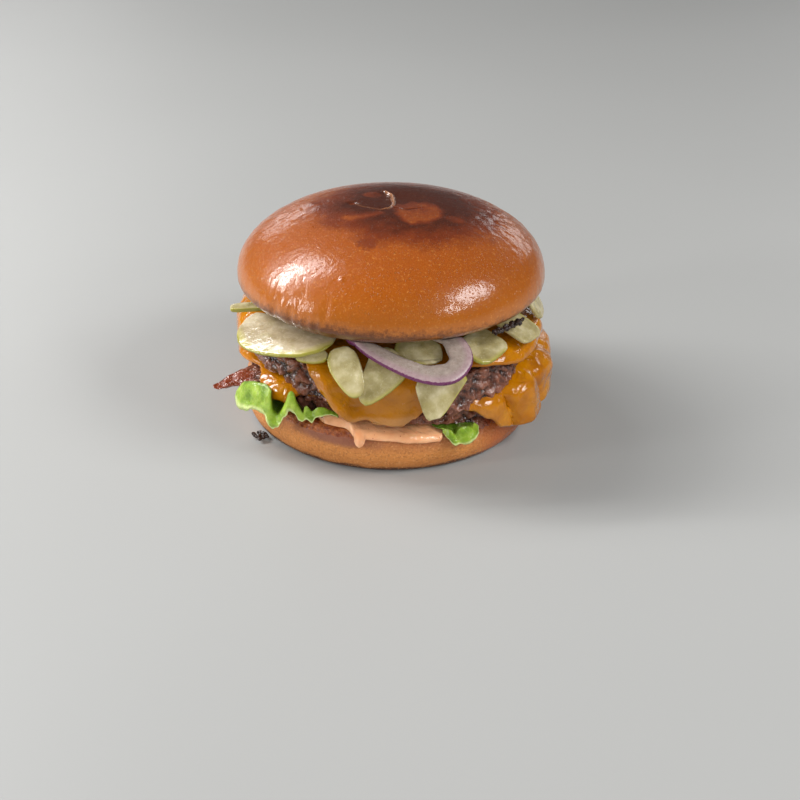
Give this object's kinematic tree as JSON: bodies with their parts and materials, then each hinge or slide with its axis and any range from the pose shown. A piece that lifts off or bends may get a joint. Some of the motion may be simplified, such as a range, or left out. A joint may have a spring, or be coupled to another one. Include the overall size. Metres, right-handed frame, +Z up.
{
  "type": "smash burger",
  "caption": "Double smash burger: glazed brioche bun with beef patties, melted cheese slices, pickles, a red onion ring, lettuce and pink sauce.",
  "frame": {"origin": "centre of the heel's flat base, on the surface that the burger stands on", "axes": "+Z up through the stack, -Y towards the side shown in the picture, +X to that view's right"},
  "size_m": [0.1201, 0.1154, 0.0783],
  "materials": {
    "glazed_crust": "egg-glazed brioche crust, orange-brown, burnt dark at the top",
    "bun_crumb_crust": "matte golden bun side, fine pores, toasted brown at its sliced edge",
    "browned_beef": "craggy seared minced beef with wet highlights",
    "melted_cheddar": "glossy melted cheddar, deep yellow-orange",
    "pickle": "wet translucent pickle flesh with a green-yellow rind",
    "red_onion": "pale lilac onion flesh with a purple outer skin",
    "lettuce": "bright green ruffled leaf with pale margins",
    "burger_sauce": "glossy salmon-pink mayonnaise sauce"
  },
  "bodies": {
    "root": {"bun_heel": "bun_crumb_crust", "sauce": "burger_sauce", "lettuce_leaf": "lettuce", "patty_lower": "browned_beef", "cheese_lower": "melted_cheddar", "patty_upper": "browned_beef", "cheese_upper": "melted_cheddar", "pickle_left": "pickle", "pickle_left_under": "pickle", "pickle_strip": "pickle", "pickle_front_left": "pickle", "pickle_front_under": "pickle", "pickle_middle": "pickle", "pickle_hanging": "pickle", "pickle_right": "pickle", "pickle_far_right": "pickle", "pickle_right_back": "pickle", "pickle_back_left": "pickle", "pickle_back": "pickle", "pickle_back_right": "pickle", "onion_ring": "red_onion", "bun_crown": "glazed_crust"}
  },
  "joints": []
}
